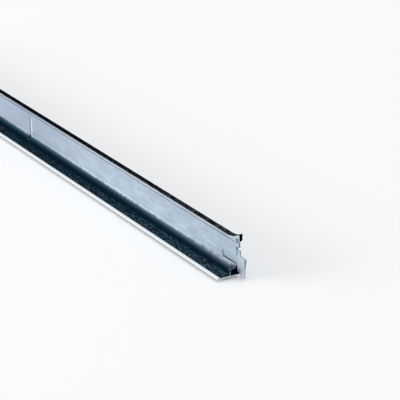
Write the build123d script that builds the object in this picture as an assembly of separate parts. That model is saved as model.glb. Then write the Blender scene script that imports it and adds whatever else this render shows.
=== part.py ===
from build123d import *
from math import cos, radians, sin, tan
import os

# A ceiling cross tee with one ledge: roll-formed galvanised strip, a white cap strip
# under its ledge, and a spring steel clip in each end. All sizes are millimetres.
# X runs along the tee, -Y is the ledge side, +Z is up.
# The origin is the middle of the white face.

# Overall sizes
LENGTH = 600.0
FACE_WIDTH = 18.5
HEIGHT = 26.1

# Sheet and fits
STRIP = 0.30
CAP_SHEET = 0.25
CLIP_SHEET = 0.60
FILM = 0.02
STRAIGHT_STEP = 0.1

# Bulb
BULB_WIDTH = 5.6
BULB_HEIGHT = 3.85
BULB_CORNER = 0.6
PINCH = 0.24
PINCH_SPAN = 0.45
PINCH_BEND = 0.2

# Foot of the web
FOOT_RADIUS = 5.0
TIGHT_BEND = 0.45

# Cap strip
HEM_WIDTH = 2.0
CAP_LIP = 1.5
CAP_BEND = 0.2

# Formed ends: the bulb is squeezed narrow and tall, the foot is opened to a mouth
FORMED_LENGTH = 10.0
HALF_WAY_SHARE = 0.25
SQUEEZED_WIDTH = 3.1
SQUEEZED_RISE = 3.1
SQUEEZED_SHOULDER = 4.6
SQUEEZED_CREASE = 0.4
SQUEEZED_FLOOR = 1.0
BUCKLE_LENGTH = 3.0
BUCKLE_INSET = 0.4
BUCKLE_DEPTH = 0.22
BUCKLE_RISE = 0.8
BUCKLE_PITCH = 1.5
MOUTH_REACH = 7.1
MOUTH_HEIGHT = 4.3
MOUTH_LEAN = 0.2
MOUTH_RISE = 0.4
MOUTH_TOE = 0.9
MOUTH_SHOULDER = 1.6
MOUTH_ROOT = 1.2

# Slot in the middle of the web
SLOT_WIDTH = 4.2
SLOT_BOTTOM = 1.2
SLOT_TOP = 19.4
SLOT_LINING = 0.3

# Cuts in the web ends, sizes along the tee taken from its end
WINDOW_LENGTH = 19.7
WINDOW_BOTTOM = 6.4
WINDOW_TOP = 12.45
WINDOW_CORNER = 2.4
STEP_LENGTH = 2.8
STEP_TOP = 19.4
STEP_CORNER = 0.6
SKIN_CORNER = 1.5
THROAT_BOTTOM = 0.95
THROAT_REACH = 2.3

# End clip
CLIP_REACH = 6.5
CLIP_SHOULDER = 13.8
CLIP_CORNER = 1.0
TAIL_CLEARANCE = 0.65
TAIL_BACK_GAP = 0.4
TAIL_TOP = 14.4
TIP_BACK = 1.2
TIP_CLEARANCE = 0.5
TIP_DROP = 2.1
TIP_SLOPE = 1.2
TIP_CORNER = 0.7
TIP_ROUND = 1.8
TAB_TOP = 18.6
TAB_FRONT = 1.3
TAB_HORN = 0.7
TAB_BACK = 4.5
TAB_DIP = 1.2
DIP_PLACE = 0.6
SMALL_CORNER = 0.3
LEAD_IN_BACK = 1.1
LEAD_IN_RUN = 0.6
LEAD_IN_START = 0.1

# Worked out from the sizes above
WEB_GAP = CLIP_SHEET + 2 * FILM
WEB_THICK = WEB_GAP + 2 * STRIP
WEB_Y = FACE_WIDTH / 2 - CAP_SHEET - FILM - WEB_THICK / 2
SKIN = (WEB_GAP + STRIP) / 2
UNDER_Z = CAP_SHEET + FILM + STRIP / 2
LEDGE_Z = UNDER_Z + STRIP + FILM
LEDGE_TOP = LEDGE_Z + STRIP / 2
LEDGE_EDGE = -FACE_WIDTH / 2 + CAP_SHEET + FILM - WEB_Y
BULB_BASE = HEIGHT - BULB_HEIGHT
BULB_TOP = HEIGHT - STRIP / 2


def along(a, b, share):
    """The point that lies a share of the way from a to b."""
    return tuple(p + (q - p) * share for p, q in zip(a, b))


def unit(a, b):
    """Direction from a to b in the section."""
    return (Vector(*b) - Vector(*a)).normalized()


def left_of(direction):
    """The direction a quarter turn to the left in the section."""
    return Vector(-direction.Y, direction.X)


def bend_points(before, corner, after, radius, shift):
    """Start, middle and stop of a bend, on a line that runs shift to the left of the centre line."""
    leg_in = unit(before, corner)
    leg_out = unit(corner, after)
    bisector = (left_of(leg_in) + left_of(leg_out)).normalized()
    half_turn = radians(leg_in.get_angle(leg_out)) / 2
    side = 1 if leg_in.cross(leg_out).Z > 0 else -1
    reach = max(radius * tan(half_turn), STRAIGHT_STEP)
    sag = side * radius * (1 / cos(half_turn) - 1)
    start = Vector(*corner) - leg_in * reach + left_of(leg_in) * shift
    middle = Vector(*corner) + bisector * (sag + shift)
    stop = Vector(*corner) + leg_out * reach + left_of(leg_out) * shift
    return start, middle, stop, half_turn > 0.01


def side_points(first, corners, last, shift):
    """The runs and bends of a folded strip, on a line to the left of its centre line."""
    points = [first] + [point for point, radius in corners] + [last]
    bends = []
    for n, (corner, radius) in enumerate(corners):
        bends.append(bend_points(points[n], corner, points[n + 2], radius, shift))
    begin = Vector(*first) + left_of(unit(points[0], points[1])) * shift
    end = Vector(*last) + left_of(unit(points[-2], points[-1])) * shift
    return begin, bends, end


def placed(point, x):
    """A point of the section, measured across and up from the web, where it stands at x."""
    return Vector(x, WEB_Y + point.X, point.Y)


def side_edges(begin, bends, end, x):
    """Straight runs and arcs along one side of the strip."""
    edges = []
    here = begin
    for start, middle, stop, curved in bends:
        edges.append(Edge.make_line(placed(here, x), placed(start, x)))
        ends = (placed(start, x), placed(stop, x))
        if curved:
            edges.append(Edge.make_three_point_arc(ends[0], placed(middle, x), ends[1]))
        else:
            edges.append(Edge.make_line(*ends))
        here = stop
    edges.append(Edge.make_line(placed(here, x), placed(end, x)))
    return edges


def strip_section(first, corners, last, thickness, x):
    """Closed outline of a folded strip at x: both its sides, joined across its two cut edges."""
    outer = side_points(first, corners, last, thickness / 2)
    inner = side_points(first, corners, last, -thickness / 2)
    edges = side_edges(*outer, x) + side_edges(*inner, x)
    edges.append(Edge.make_line(placed(outer[2], x), placed(inner[2], x)))
    edges.append(Edge.make_line(placed(inner[0], x), placed(outer[0], x)))
    return Wire(edges)


def plain_foot():
    """The web turns out to the ledge in a wide sweep of three equal bends."""
    centre_y = -SKIN - FOOT_RADIUS
    centre_z = LEDGE_Z + FOOT_RADIUS
    spread = FOOT_RADIUS / cos(radians(15))
    bends = []
    for turned in (-75, -45, -15):
        across = centre_y + spread * cos(radians(turned))
        up = centre_z + spread * sin(radians(turned))
        bends.append(((across, up), 0.95 * FOOT_RADIUS))
    return bends


def opened_foot():
    """At the end the foot is pushed out to a square mouth."""
    mouth = -SKIN - MOUTH_REACH + STRIP
    top = LEDGE_Z + MOUTH_HEIGHT
    toe = ((mouth, LEDGE_Z), MOUTH_TOE)
    shoulder = ((mouth + MOUTH_LEAN, top), MOUTH_SHOULDER)
    root = ((-SKIN, top + MOUTH_RISE), MOUTH_ROOT)
    return [toe, shoulder, root]


def bulb_bends(near_base, near_top, far_top, shoulder, far_base):
    """Bends round the bulb. Each skin is pinched in a little at the crease under it."""
    near_fold = (-SKIN, near_base - PINCH_SPAN)
    near_crease = (PINCH - SKIN, near_base)
    far_crease = (SKIN - PINCH, far_base)
    far_fold = (SKIN, far_base - PINCH_SPAN)
    creases_in = [(near_fold, PINCH_BEND), (near_crease, PINCH_BEND)]
    walls = [(near_top, BULB_CORNER), (far_top, BULB_CORNER), (shoulder, BULB_CORNER)]
    creases_out = [(far_crease, PINCH_BEND), (far_fold, PINCH_BEND)]
    return creases_in + walls + creases_out


def plain_bulb():
    """The bulb flares from a crease on each skin up to a flat top."""
    half = (BULB_WIDTH - STRIP) / 2
    near_top = (-half, BULB_TOP)
    far_top = (half, BULB_TOP)
    shoulder = along((SKIN - PINCH, BULB_BASE), far_top, 0.4)
    return bulb_bends(BULB_BASE, near_top, far_top, shoulder, BULB_BASE)


def squeezed_bulb():
    """At the end the near wall lies in the web's plane and the bulb stands narrow and tall."""
    top = BULB_TOP + SQUEEZED_RISE
    far = -SKIN + SQUEEZED_WIDTH - STRIP
    shoulder = (far, top - SQUEEZED_SHOULDER)
    far_base = top - SQUEEZED_SHOULDER - SQUEEZED_FLOOR
    return bulb_bends(BULB_BASE + SQUEEZED_CREASE, (-SKIN, top), (far, top), shoulder, far_base)


def blended(bends, other, share):
    """Bends that lie a share of the way from one set to the other."""
    mixed = []
    for (corner, radius), (other_corner, other_radius) in zip(bends, other):
        mixed.append((along(corner, other_corner, share), radius + (other_radius - radius) * share))
    return mixed


def body_section(share, x):
    """The folded strip at x: ledge, web, bulb, second web skin, and back under the ledge."""
    first = (LEDGE_EDGE, LEDGE_Z)
    last = (LEDGE_EDGE, UNDER_Z)
    foot = blended(plain_foot(), opened_foot(), share)
    bulb = blended(plain_bulb(), squeezed_bulb(), share)
    corners = foot + bulb + [((SKIN, UNDER_Z), TIGHT_BEND)]
    return strip_section(first, corners, last, STRIP, x)


def cut_plate(corners, web_from, web_to, end):
    """A flat plate with rounded corners. A corner is ((distance past the end, height), radius)."""
    points = [corner for corner, radius in corners]
    arcs = []
    for n, (corner, radius) in enumerate(corners):
        after = points[(n + 1) % len(points)]
        arcs.append(bend_points(points[n - 1], corner, after, radius, 0)[:3])
    edges = []
    for n, arc in enumerate(arcs):
        start, middle, stop = [Vector(end * (LENGTH / 2 + p.X), WEB_Y + web_from, p.Y) for p in arc]
        before = arcs[n - 1][2]
        here = Vector(end * (LENGTH / 2 + before.X), WEB_Y + web_from, before.Y)
        edges += [Edge.make_line(here, start), Edge.make_three_point_arc(start, middle, stop)]
    return extrude(Face(Wire(edges)), amount=web_to - web_from, dir=(0, 1, 0))


def slot_cutter():
    """Upright slot with a round top, where the clip of another tee goes through."""
    depth = WEB_THICK + 2 * FOOT_RADIUS
    straight = SLOT_TOP - SLOT_WIDTH / 2 - SLOT_BOTTOM
    box = Pos(0, WEB_Y, SLOT_BOTTOM + straight / 2) * Box(SLOT_WIDTH, depth, straight)
    top = Pos(0, WEB_Y, SLOT_BOTTOM + straight) * Rot(90, 0, 0) * Cylinder(SLOT_WIDTH / 2, depth)
    return box + top


def slot_lining():
    """Cheeks between the skins, from the foot's sweep to the slot's round top, before the slot is cut."""
    sweep_z = LEDGE_Z + FOOT_RADIUS
    drop = sweep_z - SLOT_BOTTOM + SLOT_LINING
    half_drop = sweep_z - drop / 2
    points = []
    for z in (sweep_z, half_drop, sweep_z - drop):
        inwards = (FOOT_RADIUS ** 2 - (sweep_z - z) ** 2) ** 0.5
        points.append(placed(Vector(inwards - FOOT_RADIUS - SKIN, z), -SLOT_WIDTH / 2 - SLOT_LINING))
    top = SLOT_TOP + SLOT_LINING
    corners = [(SKIN, sweep_z - drop), (SKIN, top), (-SKIN, top)]
    rest = [placed(Vector(*corner), -SLOT_WIDTH / 2 - SLOT_LINING) for corner in corners]
    edges = [Edge.make_three_point_arc(*points)]
    for start, stop in zip(points[2:] + rest, rest + points[:1]):
        edges.append(Edge.make_line(start, stop))
    return extrude(Face(Wire(edges)), amount=SLOT_WIDTH + 2 * SLOT_LINING, dir=(1, 0, 0))


def window_cutter(end):
    """Window in the near skin that shows the clip. It opens downwards in front of the clip."""
    corners = [
        ((CLIP_REACH, WINDOW_TOP), SMALL_CORNER),
        ((-WINDOW_LENGTH, WINDOW_TOP), WINDOW_CORNER),
        ((-WINDOW_LENGTH, WINDOW_BOTTOM), WINDOW_CORNER),
        ((-STEP_LENGTH, WINDOW_BOTTOM), SKIN_CORNER),
        ((-STEP_LENGTH, THROAT_BOTTOM), SMALL_CORNER),
        ((CLIP_REACH, THROAT_BOTTOM), SMALL_CORNER),
    ]
    return cut_plate(corners, -WEB_THICK / 2 - FILM, -WEB_GAP / 2 + FILM / 2, end)


def throat_cutter(end):
    """Clears the mouth's roof in front of the clip."""
    corners = [
        ((CLIP_REACH, WINDOW_BOTTOM), SMALL_CORNER),
        ((-STEP_LENGTH, WINDOW_BOTTOM), SMALL_CORNER),
        ((-STEP_LENGTH, THROAT_BOTTOM), SMALL_CORNER),
        ((CLIP_REACH, THROAT_BOTTOM), SMALL_CORNER),
    ]
    return cut_plate(corners, -THROAT_REACH, -WEB_THICK / 2, end)


def step_cutter(end):
    """Both skins step back around the clip's upper tab."""
    corners = [
        ((CLIP_REACH, WINDOW_TOP - FILM), SMALL_CORNER),
        ((-STEP_LENGTH, WINDOW_TOP - FILM), SMALL_CORNER),
        ((-STEP_LENGTH, STEP_TOP), STEP_CORNER),
        ((CLIP_REACH, STEP_TOP), SMALL_CORNER),
    ]
    return cut_plate(corners, -WEB_THICK, WEB_THICK, end)


def buckle_cutter(end, step):
    """A short crease where the squeezed bulb's near wall has buckled."""
    x = LENGTH / 2 - BUCKLE_INSET - BUCKLE_LENGTH / 2
    z = BULB_BASE + SQUEEZED_CREASE + BUCKLE_RISE + step * BUCKLE_PITCH
    side = BUCKLE_DEPTH * 2 ** 0.5
    place = Pos(end * x, WEB_Y - WEB_THICK / 2, z) * Rot(45, 0, 0)
    return place * Box(BUCKLE_LENGTH, side, side)


def tee_body():
    """Ledge, doubled web and bulb folded from one strip, with formed and cut ends."""
    half = LENGTH / 2
    insets = [(0.0, 1.0), (FORMED_LENGTH / 2, HALF_WAY_SHARE), (FORMED_LENGTH, 0.0)]
    sections = [body_section(share, inset - half) for inset, share in insets]
    sections += [body_section(share, half - inset) for inset, share in reversed(insets)]
    body = Solid.make_loft(sections, ruled=True) + slot_lining()
    cutters = [slot_cutter()]
    for end in (-1, 1):
        cutters += [window_cutter(end), throat_cutter(end), step_cutter(end)]
        cutters += [buckle_cutter(end, step) for step in (0, 1)]
    for cutter in cutters:
        body = body - cutter
    return body


def face_cap():
    """White strip under the ledge: a hem over its outer edge, a lip up the back of the web."""
    outer = -FACE_WIDTH / 2 + CAP_SHEET / 2 - WEB_Y
    back = FACE_WIDTH / 2 - CAP_SHEET / 2 - WEB_Y
    hem_z = LEDGE_TOP + FILM + CAP_SHEET / 2
    bottom = CAP_SHEET / 2
    first = (outer - CAP_SHEET / 2 + HEM_WIDTH, hem_z)
    last = (back, CAP_LIP)
    corners = [((outer, hem_z), CAP_BEND), ((outer, bottom), CAP_BEND), ((back, bottom), CAP_BEND)]
    outline = strip_section(first, corners, last, CAP_SHEET, -LENGTH / 2)
    return extrude(Face(outline), amount=LENGTH, dir=(1, 0, 0))


def lead_in_section(share, z, end):
    """The clip's front edge at z, bent back by a share of the full bend."""
    inside = CLIP_SHEET / 2 - FILM
    bend = Vector(-FILM, -inside)
    bent = Vector(LEAD_IN_RUN, LEAD_IN_BACK) * share
    through = left_of(bent.normalized()) * CLIP_SHEET
    root = [Vector(-CLIP_SHEET, inside), Vector(-CLIP_SHEET, -inside)]
    corners = root + [bend, bend + bent, bend + bent + through]
    points = [Vector(end * (LENGTH / 2 + CLIP_REACH + p.X), WEB_Y + p.Y, z) for p in corners]
    return Wire([Edge.make_line(a, b) for a, b in zip(points, points[1:] + points[:1])])


def lead_in(end):
    """The front edge flares back, more towards its top, so that it finds the slot."""
    low = lead_in_section(LEAD_IN_START, TIP_SLOPE - TIP_DROP + TIP_ROUND, end)
    high = lead_in_section(1.0, CLIP_SHOULDER - CLIP_CORNER, end)
    return Solid.make_loft([low, high], ruled=True)


def end_clip(end):
    """Flat spring steel clip: a tail held between the skins, a nose and an upper tab."""
    tail_back = -WINDOW_LENGTH + TAIL_BACK_GAP
    tail_bottom = WINDOW_BOTTOM + TAIL_CLEARANCE
    nose_back = -STEP_LENGTH + TAIL_CLEARANCE
    nose_bottom = THROAT_BOTTOM + TIP_CLEARANCE
    corners = [
        ((tail_back, TAIL_TOP), CLIP_CORNER),
        ((tail_back, tail_bottom), WINDOW_CORNER - TAIL_BACK_GAP),
        ((nose_back, tail_bottom), SKIN_CORNER + TAIL_CLEARANCE),
        ((nose_back, nose_bottom), SMALL_CORNER),
        ((TIP_BACK, nose_bottom), SMALL_CORNER),
        ((TIP_BACK, -TIP_DROP), TIP_CORNER),
        ((CLIP_REACH, TIP_SLOPE - TIP_DROP), TIP_ROUND),
        ((CLIP_REACH, CLIP_SHOULDER), CLIP_CORNER),
        ((TAB_FRONT, CLIP_SHOULDER), SMALL_CORNER),
        ((TAB_FRONT, TAB_TOP - TAB_DIP), SMALL_CORNER),
        ((TAB_FRONT + TAB_HORN, TAB_TOP), SMALL_CORNER),
        ((DIP_PLACE, TAB_TOP - TAB_DIP), SMALL_CORNER),
        ((-TAB_BACK, TAB_TOP - TAB_DIP), SMALL_CORNER),
        ((-TAB_BACK, TAIL_TOP), SMALL_CORNER),
    ]
    return cut_plate(corners, -CLIP_SHEET / 2, CLIP_SHEET / 2, end) + lead_in(end)


os.makedirs("parts", exist_ok=True)
export_step(tee_body(), "parts/tee_body.step")
export_step(face_cap(), "parts/face_cap.step")
export_step(end_clip(1), "parts/end_clip_a.step")
export_step(end_clip(-1), "parts/end_clip_b.step")
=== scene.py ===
# %% [markdown]
# A ceiling cross tee is folded from thin galvanised strip. The real section, its windows and
# its clips come from the CAD frame, so this script gives them their metal and paint, then the
# floor, the light and the camera. The frame is in metres: X along the tee, the ledge towards
# -Y, the bulb up.

# %% Load the frame
import math

import bpy
from mathutils import Matrix, Vector


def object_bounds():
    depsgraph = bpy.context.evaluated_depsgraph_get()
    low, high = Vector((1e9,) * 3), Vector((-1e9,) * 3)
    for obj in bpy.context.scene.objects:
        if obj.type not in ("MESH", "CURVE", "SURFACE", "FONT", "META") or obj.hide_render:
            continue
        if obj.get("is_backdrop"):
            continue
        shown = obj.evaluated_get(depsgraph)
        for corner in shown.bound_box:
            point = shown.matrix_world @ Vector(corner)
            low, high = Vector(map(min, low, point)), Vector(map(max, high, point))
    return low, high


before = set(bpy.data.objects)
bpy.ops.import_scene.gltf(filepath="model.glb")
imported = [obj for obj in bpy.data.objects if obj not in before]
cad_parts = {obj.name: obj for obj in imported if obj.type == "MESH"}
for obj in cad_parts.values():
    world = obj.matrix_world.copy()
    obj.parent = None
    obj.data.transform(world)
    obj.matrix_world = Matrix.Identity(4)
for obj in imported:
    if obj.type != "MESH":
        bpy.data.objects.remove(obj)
cad_low, cad_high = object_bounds()
print("CAD box", [round(v, 4) for v in cad_low], [round(v, 4) for v in cad_high])
print("nodes", {name: len(obj.data.polygons) for name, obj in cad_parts.items()})

# %% [markdown]
# The camera stands beyond the near end, on the ledge side, and looks along the tee with a long
# lens. Azimuth, elevation, distance and lens were worked out from the run of the tee's long
# edges and from the height of its near end. BESIDE and ABOVE say how far the point it aims at
# sits from the middle of the picture, so the camera needs no shift. The lens is kept as the
# focal length in pixels of a picture 400 pixels wide, and turned to millimetres below.

# %% Camera
MM = 0.001
AZIMUTH, ELEVATION = math.radians(57.237), math.radians(22.990)
AIM = Vector((0.300, 0.0, 0.0))
BESIDE, ABOVE, AWAY = 19.366 * MM, -51.542 * MM, 1116.58 * MM
FOCAL_PIXELS, PICTURE_PIXELS = 1670.6, 400.0
SENSOR_MM = 36.0
NEAREST, FURTHEST = 0.01, 50.0


def aimed_camera():
    """Camera whose axes are the view direction, level right, and the up that squares them."""
    look = Vector((-math.sin(AZIMUTH) * math.cos(ELEVATION),
                   math.cos(AZIMUTH) * math.cos(ELEVATION), -math.sin(ELEVATION)))
    right = Vector((math.cos(AZIMUTH), math.sin(AZIMUTH), 0.0))
    up = right.cross(look)
    data = bpy.data.cameras.new("camera")
    data.sensor_width = SENSOR_MM
    data.lens = FOCAL_PIXELS / PICTURE_PIXELS * SENSOR_MM
    data.clip_start, data.clip_end = NEAREST, FURTHEST
    obj = bpy.data.objects.new("camera", data)
    bpy.context.scene.collection.objects.link(obj)
    axes = Matrix((right, up, -look)).transposed().to_4x4()
    place = AIM - right * BESIDE - up * ABOVE - look * AWAY
    obj.matrix_world = Matrix.Translation(place) @ axes
    bpy.context.scene.camera = obj
    return obj


camera = aimed_camera()
print("lens mm", round(camera.data.lens, 1), "at", [round(v, 3) for v in camera.location])

# %% [markdown]
# One helper turns the hex colours that a paint card gives into Blender's linear colours, and
# one adds a node with its settings and links. All the materials below are built with them.

# %% Colour and node helpers
SHARE, FIRST, SECOND, MIXED = 0, 6, 7, 2     # sockets of a Mix node that mixes colours
SMOOTH = {"interpolation_type": "SMOOTHSTEP"}
MIX = {"data_type": "RGBA"}


def linear(hex_colour):
    """sRGB hex to linear RGBA: each channel c becomes c/12.92, or ((c+0.055)/1.055)^2.4."""
    channels = [int(hex_colour[i:i + 2], 16) / 255 for i in (1, 3, 5)]
    straight = [c / 12.92 if c <= 0.04045 else ((c + 0.055) / 1.055) ** 2.4 for c in channels]
    return (*straight, 1.0)


def node(tree, kind, settings=None, values=None, links=None):
    """Adds a node, sets its properties and socket values, and links other nodes' outputs in."""
    new = tree.nodes.new(kind)
    for key, value in (settings or {}).items():
        setattr(new, key, value)
    for socket, value in (values or {}).items():
        new.inputs[socket].default_value = value
    for socket, output in (links or {}).items():
        tree.links.new(output, new.inputs[socket])
    return new


def blank_material(name):
    """A material with nothing in it yet, and its node tree."""
    material = bpy.data.materials.new(name)
    material.use_nodes = True
    material.node_tree.nodes.clear()
    return material, material.node_tree


print("mid grey #808080 in linear", round(linear("#808080")[0], 4))

# %% [markdown]
# Every pattern is drawn on Object coordinates, which a CAD node shares with the frame, so it
# stays put in any view. They come in metres, and one mapping divides them by the size of the
# pattern, so each size can be read off a real sheet with a ruler. The faces of a folded strip
# also differ by where they are and which way they look, so a second helper gives both.

# %% Where a point is, and which way it faces
def pattern_space(tree, sizes_mm):
    """Object coordinates over a size in mm for each axis: one unit is one grain of the pattern."""
    place = node(tree, "ShaderNodeTexCoord")
    scale = [1.0 / (size * MM) for size in sizes_mm]
    return node(tree, "ShaderNodeMapping", values={"Scale": scale},
                links={"Vector": place.outputs["Object"]}).outputs[0]


def place_and_facing(tree):
    """Two dictionaries of outputs: the point's x, y, z, and its normal's x, y, z."""
    coordinates = node(tree, "ShaderNodeTexCoord")
    point = node(tree, "ShaderNodeSeparateXYZ", links={0: coordinates.outputs["Object"]})
    normal = node(tree, "ShaderNodeSeparateXYZ", links={0: coordinates.outputs["Normal"]})
    return point.outputs, normal.outputs


print("a pattern 2 mm in size is scaled by", round(1 / (2 * MM)), "per metre")

# %% [markdown]
# Hot-dip galvanised strip. Zinc freezes on the steel in small crystals, each a little lighter or
# darker, which gives the eye a faint mottle. On the upright web it is pale grey-blue. Painted light
# makes it paler low down, palest where the foot begins, and paints the bulb's near wall, which leans
# out over the web, paler still. It could be painted on an unfolded sheet, but a ramp on height
# follows every fold.

# %% Zinc with painted light on the upright faces
FOOT_TOP, FOOT_FADE = 6.0 * MM, 11.0 * MM
WEB_TOP = 20.0 * MM


def zinc_with_painted_light(tree, grain, point, tilt):
    """Crystal tones with painted light: paler lower down, paler at the foot and on faces that lean over.
    """
    # Painted light: the web is paler low down than high up.
    low = node(tree, "ShaderNodeMix", MIX, {FIRST: linear("#D9E9FA"), SECOND: linear("#E2F2FF")},
               {SHARE: grain}).outputs[MIXED]
    high = node(tree, "ShaderNodeMix", MIX, {FIRST: linear("#B9C7D5"), SECOND: linear("#C4D2E0")},
                {SHARE: grain}).outputs[MIXED]
    rise = node(tree, "ShaderNodeMapRange", SMOOTH, {"From Min": FOOT_TOP, "From Max": WEB_TOP},
                {"Value": point["Z"]}).outputs[0]
    tone = node(tree, "ShaderNodeMix", MIX,
                links={SHARE: rise, FIRST: low, SECOND: high}).outputs[MIXED]
    # Painted light: palest at the foot, below FOOT_TOP.
    painted_foot_light = node(tree, "ShaderNodeMapRange", SMOOTH,
                {"From Min": FOOT_FADE, "From Max": FOOT_TOP, "To Max": 0.9},
                {"Value": point["Z"]}).outputs[0]
    tone = node(tree, "ShaderNodeMix", MIX, {SECOND: linear("#E4F5FF")},
                {SHARE: painted_foot_light, FIRST: tone}).outputs[MIXED]
    # Painted light on faces that lean out over the web.
    painted_overhang_light = node(tree, "ShaderNodeMapRange", SMOOTH, {"From Min": -0.05, "From Max": -0.35},
                    {"Value": tilt}).outputs[0]
    return node(tree, "ShaderNodeMix", MIX, {SECOND: linear("#F2F7FC")},
                {SHARE: painted_overhang_light, FIRST: tone}).outputs[MIXED]


print("palest zinc below", round(FOOT_TOP / MM, 1), "mm, darkest from", round(WEB_TOP / MM, 1), "mm up")

# %% [markdown]
# What happens to the web after the mill. Rolls and packing draw fine scuffs along it, most near
# the ends, where it was handled. The film of oil leaves soft lilac and slate patches 8 to 18 mm
# across, is thicker towards the middle, and greyer where the very ends were fingered. Each is a
# thin layer of one colour over the last, so its strength can be set alone.

# %% Wear on the web
SCUFF_MM = (12.0, 0.8, 0.8)      # real scuffs are under 0.1 mm wide, drawn coarser to show
PATCH_MM = (18.0, 8.0, 8.0)
OILY_HALF = 130 * MM
FINGERED_FROM, FINGERED_TO = 266 * MM, 290 * MM


def worn_zinc(tree, tone, outward, handled):
    """The clean tone under scuffs, two tints of patches, the oilier middle and the fingered ends."""
    scuffs = node(tree, "ShaderNodeTexNoise", values={"Scale": 1.0, "Detail": 3.0},
                  links={"Vector": pattern_space(tree, SCUFF_MM)}).outputs[0]
    clouds = node(tree, "ShaderNodeTexNoise", values={"Scale": 1.0, "Detail": 2.0},
                  links={"Vector": pattern_space(tree, PATCH_MM)}).outputs["Color"]
    cloud = node(tree, "ShaderNodeSeparateColor", links={0: clouds})
    most = node(tree, "ShaderNodeMapRange", values={"To Min": 0.10, "To Max": 0.42},
                links={"Value": handled}).outputs[0]
    scuffed = node(tree, "ShaderNodeMapRange", SMOOTH, {"From Min": 0.42, "From Max": 0.66},
                   {"Value": scuffs, "To Max": most}).outputs[0]
    lilac = node(tree, "ShaderNodeMapRange", SMOOTH,
                 {"From Min": 0.45, "From Max": 0.62, "To Max": 0.20},
                 {"Value": cloud.outputs[0]}).outputs[0]
    slate = node(tree, "ShaderNodeMapRange", SMOOTH,
                 {"From Min": 0.45, "From Max": 0.62, "To Max": 0.18},
                 {"Value": cloud.outputs[1]}).outputs[0]
    oily = node(tree, "ShaderNodeMapRange", SMOOTH,
                {"From Min": OILY_HALF, "From Max": 0.0, "To Max": 0.50},
                {"Value": outward}).outputs[0]
    fingered = node(tree, "ShaderNodeMapRange", SMOOTH,
                    {"From Min": FINGERED_FROM, "From Max": FINGERED_TO, "To Max": 0.15},
                    {"Value": outward}).outputs[0]
    layers = [(scuffed, "#94A5B5"), (lilac, "#A9AFC9"), (slate, "#A6BAC6"), (oily, "#9FA9C0"),
              (fingered, "#93A7B8")]
    for share, colour in layers:
        tone = node(tree, "ShaderNodeMix", MIX, {SECOND: linear(colour)},
                    {SHARE: share, FIRST: tone}).outputs[MIXED]
    return tone


print("scuffs in mm", SCUFF_MM, "patches in mm", PATCH_MM)

# %% [markdown]
# Upward faces. On the photographed tee they are deep navy, darkest where the foot sweeps up, with
# light flecks along the ledge. The dark is painted shade: faces that look up are painted dark in
# the material, with tints of navy and teal, and it looks the same from every side.

# %% Painted shade on the ledge and the foot
TINT_MM = (9.0, 4.0, 4.0)
LEDGE_FROM, LEDGE_TO = 3.3 * MM, -0.7 * MM
RAISED_FROM, RAISED_TO = 3.0 * MM, 4.2 * MM


def painted_ledge_shade(tree, point, tilt, flecks, handled):
    """Painted shade: flecked navy on the ledge, deeper in the sweep, paler where the sweep turns
    upright.
    """
    tints = node(tree, "ShaderNodeTexNoise", values={"Scale": 1.0, "Detail": 2.0},
                 links={"Vector": pattern_space(tree, TINT_MM)}).outputs[0]
    teal = node(tree, "ShaderNodeMapRange", SMOOTH, {"From Min": 0.42, "From Max": 0.60},
                {"Value": tints}).outputs[0]
    most = node(tree, "ShaderNodeMapRange", values={"To Min": 0.55, "To Max": 1.0},
                links={"Value": handled}).outputs[0]
    fleck = node(tree, "ShaderNodeMapRange", SMOOTH, {"From Min": 0.46, "From Max": 0.66},
                 {"Value": flecks, "To Max": most}).outputs[0]
    # Painted shade: faces that look up are painted dark navy, darkest in the sweep.
    painted_shade = node(tree, "ShaderNodeMix", MIX, {FIRST: linear("#0B1C29"), SECOND: linear("#0A2029")},
                {SHARE: teal}).outputs[MIXED]
    ledge = node(tree, "ShaderNodeMix", MIX, {SECOND: linear("#5A7482")},
                 {SHARE: fleck, FIRST: painted_shade}).outputs[MIXED]
    sweep = node(tree, "ShaderNodeMix", MIX, {FIRST: linear("#0C2236"), SECOND: linear("#0A2632")},
                 {SHARE: teal}).outputs[MIXED]
    outer = node(tree, "ShaderNodeMapRange", SMOOTH, {"From Min": LEDGE_FROM, "From Max": LEDGE_TO},
                 {"Value": point["Y"]}).outputs[0]
    tone = node(tree, "ShaderNodeMix", MIX,
                links={SHARE: outer, FIRST: sweep, SECOND: ledge}).outputs[MIXED]
    # Painted shade, lighter where the face is only half turned up.
    half_shade = node(tree, "ShaderNodeMix", MIX, {FIRST: linear("#3D536A"), SECOND: linear("#3C5964")},
                {SHARE: teal}).outputs[MIXED]
    half_shade = node(tree, "ShaderNodeMix", MIX, {SECOND: linear("#54616C")},
                {SHARE: handled, FIRST: half_shade}).outputs[MIXED]
    flat = node(tree, "ShaderNodeMapRange", SMOOTH, {"From Min": 0.50, "From Max": 1.0},
                {"Value": tilt}).outputs[0]
    tone = node(tree, "ShaderNodeMix", MIX,
                links={SHARE: flat, FIRST: half_shade, SECOND: tone}).outputs[MIXED]
    # Painted shade, paler where the sweep turns upright.
    raised = node(tree, "ShaderNodeMapRange", SMOOTH, {"From Min": RAISED_FROM, "From Max": RAISED_TO},
                  {"Value": point["Z"]}).outputs[0]
    return node(tree, "ShaderNodeMix", MIX, {SECOND: linear("#4F606E")},
                {SHARE: raised, FIRST: tone}).outputs[MIXED]


print("tints of the film in mm", TINT_MM)

# %% [markdown]
# The top of the bulb carries the same painted shade, almost black, with fewer and paler specks. One
# noise draws the flecks on both, so they have the same grain, and its threshold sets how many show.

# %% Painted shade on the bulb
FLECK_MM = (2.2, 0.6, 0.6)       # real flecks are about 0.2 mm, drawn coarser to show
BULB_FROM, BULB_TO = 20.0 * MM, 24.0 * MM


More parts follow.
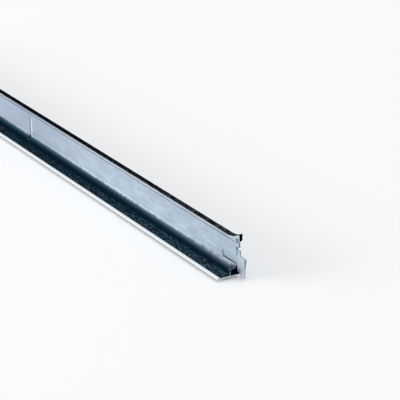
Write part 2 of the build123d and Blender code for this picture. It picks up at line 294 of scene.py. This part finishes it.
def painted_upward_shade(tree, point, tilt, handled):
    """The ledge's painted shade low down, and painted near black with pale specks at the bulb's height.
    """
    flecks = node(tree, "ShaderNodeTexNoise",
                  values={"Scale": 1.0, "Detail": 4.0, "Roughness": 0.65},
                  links={"Vector": pattern_space(tree, FLECK_MM)}).outputs[0]
    ledge = painted_ledge_shade(tree, point, tilt, flecks, handled)
    most = node(tree, "ShaderNodeMapRange", values={"To Min": 0.25, "To Max": 0.9},
                links={"Value": handled}).outputs[0]
    speck = node(tree, "ShaderNodeMapRange", SMOOTH, {"From Min": 0.52, "From Max": 0.66},
                 {"Value": flecks, "To Max": most}).outputs[0]
    # Painted shade: the top of the bulb is painted near black.
    bulb = node(tree, "ShaderNodeMix", MIX, {FIRST: linear("#060C12"), SECOND: linear("#7A828A")},
                {SHARE: speck}).outputs[MIXED]
    rise = node(tree, "ShaderNodeMapRange", SMOOTH, {"From Min": BULB_FROM, "From Max": BULB_TO},
                {"Value": point["Z"]}).outputs[0]
    return node(tree, "ShaderNodeMix", MIX,
                links={SHARE: rise, FIRST: ledge, SECOND: bulb}).outputs[MIXED]


print("flecks in mm", FLECK_MM)

# %% [markdown]
# Where the pale web turns into the dark foot. The painted shade fades out as the face turns upright,
# over a narrow band in the plain length and a wide one low on the ends. Its edge is ragged in strokes
# up and down, 1 mm apart. The strokes are added to the tilt before the ramp, which moves the edge
# and keeps its softness.

# %% Edge of the painted shade
STROKE_MM = (1.0, 6.0, 6.0)
FORMED_FROM, FORMED_TO = 215 * MM, 275 * MM
WIDE_BAND_FROM, WIDE_BAND_TO = 7.2 * MM, 5.6 * MM


def painted_shade_share(tree, point, tilt, outward):
    """Share of painted shade: 0 on upright faces, 1 on upward ones, by the normal's Z plus ragged
    strokes.
    """
    formed = node(tree, "ShaderNodeMapRange", SMOOTH, {"From Min": FORMED_FROM, "From Max": FORMED_TO},
                  {"Value": outward}).outputs[0]
    low = node(tree, "ShaderNodeMapRange", SMOOTH, {"From Min": WIDE_BAND_FROM, "From Max": WIDE_BAND_TO},
               {"Value": point["Z"]}).outputs[0]
    formed = node(tree, "ShaderNodeMath", {"operation": "MULTIPLY"},
                  links={0: formed, 1: low}).outputs[0]
    first = node(tree, "ShaderNodeMapRange", values={"To Min": 0.10, "To Max": -0.08},
                 links={"Value": formed}).outputs[0]
    last = node(tree, "ShaderNodeMapRange", values={"To Min": 0.56, "To Max": 0.54},
                links={"Value": formed}).outputs[0]
    strokes = node(tree, "ShaderNodeTexNoise", values={"Scale": 1.0, "Detail": 2.0},
                   links={"Vector": pattern_space(tree, STROKE_MM)}).outputs[0]
    ragged = node(tree, "ShaderNodeMapRange",
                  values={"From Min": 0.34, "From Max": 0.66, "To Min": -0.13, "To Max": 0.13},
                  links={"Value": strokes}).outputs[0]
    reach = node(tree, "ShaderNodeMapRange", values={"To Min": 0.6},
                 links={"Value": formed}).outputs[0]
    ragged = node(tree, "ShaderNodeMath", {"operation": "MULTIPLY"},
                  links={0: ragged, 1: reach}).outputs[0]
    # Ragged strokes move the edge of the painted shade.
    uneven = node(tree, "ShaderNodeMath", {"operation": "ADD"}, links={0: tilt, 1: ragged}).outputs[0]
    return node(tree, "ShaderNodeMapRange", SMOOTH,
                links={"Value": uneven, "From Min": first, "From Max": last}).outputs[0]


print("wiped strokes in mm", STROKE_MM, "below", round(WIDE_BAND_FROM / MM, 1), "mm")

# %% [markdown]
# Sheared edges. Cutting leaves bare steel, light round the ledge and the bulb and pale blue in the
# slot. Painted shade darkens the edges where the web's skins were stepped back, and the top of the
# bulb's rim and the foot of the slot carry the painted shade of the upward faces. One material could
# be given to each edge, but they are all faces that look along the tee, so height, depth and
# distance from the middle tell them apart.

# %% Tone of the sheared edges
MIDDLE_END, NEAR_END = 100 * MM, 200 * MM
SLOT_DARK, SLOT_BARE = 2.2 * MM, 3.6 * MM
WEB_EDGE, BULB_EDGE = 19.0 * MM, 20.5 * MM
RIM_BARE, RIM_DARK = 28.2 * MM, 28.6 * MM
LEDGE_EDGE, SKIN_EDGE = 6.6 * MM, 7.2 * MM
MOUTH_WALL, MOUTH_ROOF = 3.2 * MM, 3.8 * MM
BULB_START, SKIN_END = 20.4 * MM, 19.6 * MM


def painted_edge_shade(tree, point, near_end):
    """Painted shade mask: 1 on the edges of the web's skins and of the mouth's roof, under the bulb,
    else 0.
    """
    in_web = node(tree, "ShaderNodeMapRange", SMOOTH, {"From Min": LEDGE_EDGE, "From Max": SKIN_EDGE},
                  {"Value": point["Y"]}).outputs[0]
    roof = node(tree, "ShaderNodeMapRange", SMOOTH, {"From Min": MOUTH_WALL, "From Max": MOUTH_ROOF},
                {"Value": point["Z"]}).outputs[0]
    under = node(tree, "ShaderNodeMapRange", SMOOTH, {"From Min": BULB_START, "From Max": SKIN_END},
                 {"Value": point["Z"]}).outputs[0]
    edge_shaded = node(tree, "ShaderNodeMath", {"operation": "MAXIMUM"}, links={0: in_web, 1: roof})
    edge_shaded = node(tree, "ShaderNodeMath", {"operation": "MULTIPLY"},
                links={0: near_end, 1: edge_shaded.outputs[0]})
    return node(tree, "ShaderNodeMath", {"operation": "MULTIPLY"},
                links={0: edge_shaded.outputs[0], 1: under}).outputs[0]


def edge_tone(tree, point, outward):
    """Bare steel at the ends and in the slot, with painted shade at the slot's foot, the rim's top and
    the web's own edges.
    """
    near_end = node(tree, "ShaderNodeMapRange", SMOOTH,
                    {"From Min": MIDDLE_END, "From Max": NEAR_END}, {"Value": outward}).outputs[0]
    depth = node(tree, "ShaderNodeMapRange", SMOOTH, {"From Min": SLOT_DARK, "From Max": SLOT_BARE},
                 {"Value": point["Z"]}).outputs[0]
    # Painted shade: the slot's edge is dark at its foot.
    slot = node(tree, "ShaderNodeMix", MIX, {FIRST: linear("#24405A"), SECOND: linear("#B4C2CE")},
                {SHARE: depth}).outputs[MIXED]
    at_bulb = node(tree, "ShaderNodeMapRange", SMOOTH, {"From Min": WEB_EDGE, "From Max": BULB_EDGE},
                   {"Value": point["Z"]}).outputs[0]
    rim = node(tree, "ShaderNodeMix", MIX, {FIRST: linear("#B8B3B7"), SECOND: linear("#D4DADF")},
               {SHARE: at_bulb}).outputs[MIXED]
    top = node(tree, "ShaderNodeMapRange", SMOOTH, {"From Min": RIM_BARE, "From Max": RIM_DARK},
               {"Value": point["Z"]}).outputs[0]
    # Painted shade: the rim's top is as dark as the bulb's top.
    rim = node(tree, "ShaderNodeMix", MIX, {SECOND: linear("#1B2228")},
               {SHARE: top, FIRST: rim}).outputs[MIXED]
    bare = node(tree, "ShaderNodeMix", MIX,
                links={SHARE: near_end, FIRST: slot, SECOND: rim}).outputs[MIXED]
    # Painted shade on the edges of the web's skins and the mouth's roof.
    return node(tree, "ShaderNodeMix", MIX, {SECOND: linear("#465460")},
                {SHARE: painted_edge_shade(tree, point, near_end), FIRST: bare}).outputs[MIXED]


print("slot's edge is bare from", round(SLOT_BARE / MM, 1), "mm up")

# %% [markdown]
# Three places get painted tones. Painted shade darkens the inside of the fold, which shows through
# the bulb's open end and the gap round the clip's window, and the two creases in the squeezed bulb.
# Painted light lifts the shade at the foot of the slot. They are shapes of the CAD model already.
# Each gets a mask of its place, which needs no map drawn for it and lies exactly on the shape.

# %% Inside the fold, the slot's foot and the creases
INSIDE_FROM, INSIDE_TO = 8.5 * MM, 8.6 * MM
SLOT_HALF, SLOT_FOOT, SWEEP_BACK = 2.15 * MM, 3.6 * MM, 4.5 * MM
CREASE_FROM, CREASE_TO, NEAR_WALL = 296.4 * MM, 299.6 * MM, 8.3 * MM
CREASES_MIDDLE, CREASE_OFF = 24.2 * MM, 0.75 * MM
CREASE_FADE, CREASE_HALF = 0.6 * MM, 0.25 * MM


def all_hold(tree, limits):
    """1 where every (value, comparison, limit) holds, else 0: the product of the comparisons."""
    product = None
    for value, comparison, limit in limits:
        holds = node(tree, "ShaderNodeMath", {"operation": comparison}, {1: limit}, {0: value})
        if product:
            holds = node(tree, "ShaderNodeMath", {"operation": "MULTIPLY"},
                         links={0: product, 1: holds.outputs[0]})
        product = holds.outputs[0]
    return product


def painted_hollow_shade(tree, point, normal):
    """Painted shade mask: 1 on faces beyond the web's middle that look back at it, inside the fold, else
    0.
    """
    beyond = node(tree, "ShaderNodeMapRange", SMOOTH,
                  {"From Min": INSIDE_FROM, "From Max": INSIDE_TO}, {"Value": point["Y"]})
    turned_in = node(tree, "ShaderNodeMapRange", SMOOTH, {"From Min": -0.2, "From Max": -0.5},
                     {"Value": normal["Y"]})
    return node(tree, "ShaderNodeMath", {"operation": "MULTIPLY"},
                links={0: beyond.outputs[0], 1: turned_in.outputs[0]}).outputs[0]


def painted_slot_light(tree, point, outward):
    """Painted light mask: 1 on the walls of the slot where it runs down into the sweep of the foot, else
    0.
    """
    return all_hold(tree, [(outward, "LESS_THAN", SLOT_HALF), (point["Z"], "LESS_THAN", SLOT_FOOT),
                           (point["Y"], "GREATER_THAN", SWEEP_BACK)])


def painted_crease_shade(tree, point, outward):
    """Painted shade mask: 1 along the two short creases in the bulb's near wall, which lie CREASE_OFF
    off centre.

    The distance from the nearer one is | |z - CREASES_MIDDLE| - CREASE_OFF |.
    """
    apart = point["Z"]
    for offset in (CREASES_MIDDLE, CREASE_OFF):
        apart = node(tree, "ShaderNodeMath", {"operation": "SUBTRACT"}, {1: offset}, {0: apart})
        apart = node(tree, "ShaderNodeMath", {"operation": "ABSOLUTE"},
                     links={0: apart.outputs[0]}).outputs[0]
    line = node(tree, "ShaderNodeMapRange", SMOOTH,
                {"From Min": CREASE_FADE, "From Max": CREASE_HALF}, {"Value": apart}).outputs[0]
    at_end = all_hold(tree, [(outward, "GREATER_THAN", CREASE_FROM),
                             (outward, "LESS_THAN", CREASE_TO), (point["Y"], "LESS_THAN", NEAR_WALL)])
    return node(tree, "ShaderNodeMath", {"operation": "MULTIPLY"},
                links={0: line, 1: at_end}).outputs[0]


print("creases", round(2 * CREASE_OFF / MM, 1), "mm apart, from", round(CREASE_FROM / MM, 1), "mm out")

# %% [markdown]
# The tones meet in one material, named for the strip. Roughness and relief change from crystal to
# crystal, which gives the eye a soft, wide, slightly broken highlight. The surface is half metal and
# half not. A level of zero takes the non-metal half's reflection away and the tint dims the metal
# half's, so that the painted shade renders as dark as it is written.

# %% Galvanised steel
CRYSTAL_MM = (2.2, 1.3, 1.3)     # the fine spangle of such strip is under 1 mm, drawn coarser
HANDLED_FROM, HANDLED_TO = 60 * MM, 250 * MM


def galvanised():
    """Pale zinc with painted light, painted shade by facing, bare steel on the edges, and painted shade
    in the fold.
    """
    material, tree = blank_material("hot_dip_galvanised_strip")
    point, normal = place_and_facing(tree)
    crystals = node(tree, "ShaderNodeTexVoronoi", values={"Scale": 1.0},
                    links={"Vector": pattern_space(tree, CRYSTAL_MM)})
    grain = node(tree, "ShaderNodeSeparateColor", links={0: crystals.outputs["Color"]})
    outward = node(tree, "ShaderNodeMath", {"operation": "ABSOLUTE"}, links={0: point["X"]}).outputs[0]
    handled = node(tree, "ShaderNodeMapRange", SMOOTH,
                   {"From Min": HANDLED_FROM, "From Max": HANDLED_TO}, {"Value": outward}).outputs[0]
    upright = zinc_with_painted_light(tree, grain.outputs[0], point, normal["Z"])
    upright = worn_zinc(tree, upright, outward, handled)
    upward = painted_upward_shade(tree, point, normal["Z"], handled)
    painted_shade = painted_shade_share(tree, point, normal["Z"], outward)
    # Painted shade on the faces that look up, over the zinc with its painted light.
    shade = node(tree, "ShaderNodeMix", MIX,
                 links={SHARE: painted_shade, FIRST: upright, SECOND: upward}).outputs[MIXED]
    endways = node(tree, "ShaderNodeMath", {"operation": "ABSOLUTE"}, links={0: normal["X"]}).outputs[0]
    sheared = node(tree, "ShaderNodeMapRange", SMOOTH, {"From Min": 0.80, "From Max": 0.95},
                   {"Value": endways}).outputs[0]
    edges = edge_tone(tree, point, outward)
    shade = node(tree, "ShaderNodeMix", MIX,
                 links={SHARE: sheared, FIRST: shade, SECOND: edges}).outputs[MIXED]
    # Painted shade in the fold and the creases, and painted light at the slot's foot.
    painted_light_and_shade = [(painted_hollow_shade(tree, point, normal), "#04090D"),
             (painted_slot_light(tree, point, outward), "#43596A"),
             (painted_crease_shade(tree, point, outward), "#323C46")]
    for share, colour in painted_light_and_shade:
        shade = node(tree, "ShaderNodeMix", MIX, {SECOND: linear(colour)},
                     {SHARE: share, FIRST: shade}).outputs[MIXED]
    gloss = node(tree, "ShaderNodeMapRange", values={"To Min": 0.42, "To Max": 0.54},
                 links={"Value": grain.outputs[1]}).outputs[0]
    relief = node(tree, "ShaderNodeBump", values={"Strength": 0.25, "Distance": 0.02 * MM},
                  links={"Height": grain.outputs[2]})
    metal = node(tree, "ShaderNodeBsdfPrincipled",
                 values={"Metallic": 0.5, "Specular IOR Level": 0.0,
                         "Specular Tint": linear("#8C8C8C")},
                 links={"Base Color": shade, "Roughness": gloss, "Normal": relief.outputs[0]})
    node(tree, "ShaderNodeOutputMaterial", links={"Surface": metal.outputs[0]})
    return material


zinc_strip = galvanised()
print(zinc_strip.name, "has", len(zinc_strip.node_tree.nodes), "nodes")

# %% [markdown]
# Spring steel for the clips: hardened strip, blanked flat and plated with bright zinc. Brushing
# before plating leaves fine lines along it, which give the eye a satin streak. The blanked edges
# and the flared front are duller, since plating is thin there. Painted shade makes the plate bluer
# and darker at the top tab and inside the tee, and painted light makes it paler and greyer towards
# the low tip. A loop lays these painted tints over it.

# %% Plated spring steel
BRUSH_MM = (12.0, 2.0, 0.7)      # real brush lines are about 0.05 mm, drawn coarser to show
LOW_FROM, LOW_TO = 7.0 * MM, 2.0 * MM
TIP_FROM, TIP_TO = 0.8 * MM, -0.6 * MM
TAIL_FROM, TAIL_TO = 301 * MM, 295 * MM
TAB_FROM, TAB_TO = 13.6 * MM, 15.6 * MM


def plated():
    """Brushed bright zinc with painted light and shade on each stretch, and duller blanked edges."""
    material, tree = blank_material("zinc_plated_spring_steel")
    point, normal = place_and_facing(tree)
    brushed = node(tree, "ShaderNodeTexNoise", values={"Scale": 1.0, "Detail": 3.0},
                   links={"Vector": pattern_space(tree, BRUSH_MM)}).outputs[0]
    lines = node(tree, "ShaderNodeMapRange", SMOOTH, {"From Min": 0.35, "From Max": 0.65},
                 {"Value": brushed}).outputs[0]
    face = node(tree, "ShaderNodeMix", MIX, {FIRST: linear("#C3D2DF"), SECOND: linear("#D2E0EC")},
                {SHARE: lines}).outputs[MIXED]
    outward = node(tree, "ShaderNodeMath", {"operation": "ABSOLUTE"}, links={0: point["X"]}).outputs[0]
    # Painted light makes the low part and the tip paler, painted shade darkens the tail and the top tab.
    light_and_shade_stretches = [(point["Z"], LOW_FROM, LOW_TO, 1.0, "#D3DEEC"),
                 (point["Z"], TIP_FROM, TIP_TO, 1.0, "#E0E4E5"),
                 (outward, TAIL_FROM, TAIL_TO, 0.3, "#A6B9C7"),
                 (point["Z"], TAB_FROM, TAB_TO, 0.7, "#9DBACB")]
    for along, start, end, most, colour in light_and_shade_stretches:
        share = node(tree, "ShaderNodeMapRange", SMOOTH,
                     {"From Min": start, "From Max": end, "To Max": most}, {"Value": along}).outputs[0]
        face = node(tree, "ShaderNodeMix", MIX, {SECOND: linear(colour)},
                    {SHARE: share, FIRST: face}).outputs[MIXED]
    sideways = node(tree, "ShaderNodeMath", {"operation": "ABSOLUTE"}, links={0: normal["Y"]}).outputs[0]
    flat = node(tree, "ShaderNodeMapRange", SMOOTH, {"From Min": 0.55, "From Max": 0.95},
                {"Value": sideways}).outputs[0]
    shade = node(tree, "ShaderNodeMix", MIX, {FIRST: linear("#7C7F82")},
                 {SHARE: flat, SECOND: face}).outputs[MIXED]
    relief = node(tree, "ShaderNodeBump", values={"Strength": 0.3, "Distance": 0.01 * MM},
                  links={"Height": brushed})
    metal = node(tree, "ShaderNodeBsdfPrincipled",
                 values={"Metallic": 0.5, "Roughness": 0.42, "Specular IOR Level": 0.2},
                 links={"Base Color": shade, "Normal": relief.outputs[0]})
    node(tree, "ShaderNodeOutputMaterial", links={"Surface": metal.outputs[0]})
    return material


clip_steel = plated()
print(clip_steel.name, "has", len(clip_steel.node_tree.nodes), "nodes")

# %% [markdown]
# The face strip is coil coated: white polyester rolled on before the strip is folded. Its skin has
# a faint orange peel about 1.5 mm across, and roller lines along it that change its gloss and its
# white a little, so that the eye sees a satin sheen. Its cut ends are a warmer white.

# %% White coil coating
PEEL_MM = (2.2, 1.5, 1.5)
ROLLER_MM = (60.0, 0.8, 0.8)     # real roller lines are about 0.2 mm apart, drawn coarser to show


def coated():
    """White with roller lines, an orange-peel relief, and a warmer white on the cut ends."""
    material, tree = blank_material("white_coil_coating")
    normal = place_and_facing(tree)[1]
    peel = node(tree, "ShaderNodeTexNoise", values={"Scale": 1.0, "Detail": 2.0},
                links={"Vector": pattern_space(tree, PEEL_MM)}).outputs[0]
    roller = node(tree, "ShaderNodeTexNoise", values={"Scale": 1.0, "Detail": 3.0},
                  links={"Vector": pattern_space(tree, ROLLER_MM)}).outputs[0]
    white = node(tree, "ShaderNodeMix", MIX, {FIRST: linear("#E0E4E8"), SECOND: linear("#E9ECEE")},
                 {SHARE: roller}).outputs[MIXED]
    endways = node(tree, "ShaderNodeMath", {"operation": "ABSOLUTE"}, links={0: normal["X"]}).outputs[0]
    sheared = node(tree, "ShaderNodeMapRange", SMOOTH, {"From Min": 0.80, "From Max": 0.95},
                   {"Value": endways}).outputs[0]
    shade = node(tree, "ShaderNodeMix", MIX, {SECOND: linear("#F0EEF0")},
                 {SHARE: sheared, FIRST: white}).outputs[MIXED]
    gloss = node(tree, "ShaderNodeMapRange", values={"To Min": 0.32, "To Max": 0.46},
                 links={"Value": roller}).outputs[0]
    relief = node(tree, "ShaderNodeBump", values={"Strength": 0.3, "Distance": 0.02 * MM},
                  links={"Height": peel})
    paint = node(tree, "ShaderNodeBsdfPrincipled",
                 links={"Base Color": shade, "Roughness": gloss, "Normal": relief.outputs[0]})
    node(tree, "ShaderNodeOutputMaterial", links={"Surface": paint.outputs[0]})
    return material


white_coating = coated()
print(white_coating.name, "has", len(white_coating.node_tree.nodes), "nodes")

# %% [markdown]
# Each piece of the tee keeps its CAD mesh, which already has its real folds, windows and cut
# edges, so only its one material slot changes. The clips are mirror images and share a finish.

# %% Finishes
finishes = {"tee_body": zinc_strip, "face_cap": white_coating,
            "end_clip_a": clip_steel, "end_clip_b": clip_steel}
for name, finish in finishes.items():
    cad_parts[name].material_slots[0].material = finish
    print(name, "is finished in", finish.name)

# %% [markdown]
# A plain studio floor, at the height of the tee's lowest point. It is 12 m square, so that its
# edge stays out of the picture, and almost white and rough, so that it keeps the soft shadow of
# the tee and no reflection.

# %% Floor
FLOOR_HALF = 6.0


def studio_floor():
    """One square, marked as staging so that it isn't part of the tee."""
    signs = ((-1, -1), (1, -1), (1, 1), (-1, 1))
    corners = [(x * FLOOR_HALF, y * FLOOR_HALF, cad_low[2]) for x, y in signs]
    mesh = bpy.data.meshes.new("floor")
    mesh.from_pydata(corners, [], [(0, 1, 2, 3)])
    obj = bpy.data.objects.new("floor", mesh)
    bpy.context.scene.collection.objects.link(obj)
    material, tree = blank_material("matt_white_board")
    board = node(tree, "ShaderNodeBsdfPrincipled",
                 values={"Base Color": linear("#F8F8F8"), "Roughness": 0.9,
                         "Specular IOR Level": 0.1})
    node(tree, "ShaderNodeOutputMaterial", links={"Surface": board.outputs[0]})
    mesh.materials.append(material)
    obj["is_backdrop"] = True
    return obj


floor = studio_floor()
print("floor at", round(floor.data.vertices[0].co.z, 5), "m")

# %% [markdown]
# Two soft lamps: a wide one overhead, and a low one on the ledge side, which lights the upright
# web. Both stand far back, so the floor is evenly lit, and the world fills the rest. Their
# strengths were set so that the web's colours render about as they are written and the floor
# stays just under white.

# %% Lamps and world
OVERHEAD_WATTS, LOW_WATTS, SKY = 39, 68, 0.67


def lamp(name, place, target, size, watts):
    """Rectangular lamp at a place, turned to face a target."""
    data = bpy.data.lights.new(name, "AREA")
    data.shape = "RECTANGLE"
    data.size, data.size_y = size
    data.energy = watts
    obj = bpy.data.objects.new(name, data)
    bpy.context.scene.collection.objects.link(obj)
    obj.location = place
    obj.rotation_euler = (Vector(target) - Vector(place)).to_track_quat("-Z", "Y").to_euler()
    return obj


lamp("overhead", place=(0.2, 0.6, 3.0), target=(0.1, 0.2, 0.0), size=(3.6, 3.6),
     watts=OVERHEAD_WATTS)
lamp("low_left", place=(-1.4, -3.0, 0.9), target=(0.15, 0.2, 0.0), size=(3.0, 1.5),
     watts=LOW_WATTS)
world = bpy.data.worlds.new("studio")
bpy.context.scene.world = world
world.use_nodes = True
background = world.node_tree.nodes["Background"]
background.inputs["Color"].default_value = linear("#F4F6F8")
background.inputs["Strength"].default_value = SKY
bpy.context.scene.view_settings.view_transform = "Standard"
print("lamps", OVERHEAD_WATTS, "and", LOW_WATTS, "W, world", SKY)

# %% [markdown]
# Nothing here may change the tee's size, so the box of the finished model is compared with the
# CAD's own.

# %% Finish
SAME = 0.001 * MM
low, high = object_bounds()
shifts = [abs(new - old) for new, old in zip([*low, *high], [*cad_low, *cad_high])]
print("same box as the CAD:", max(shifts) < SAME)
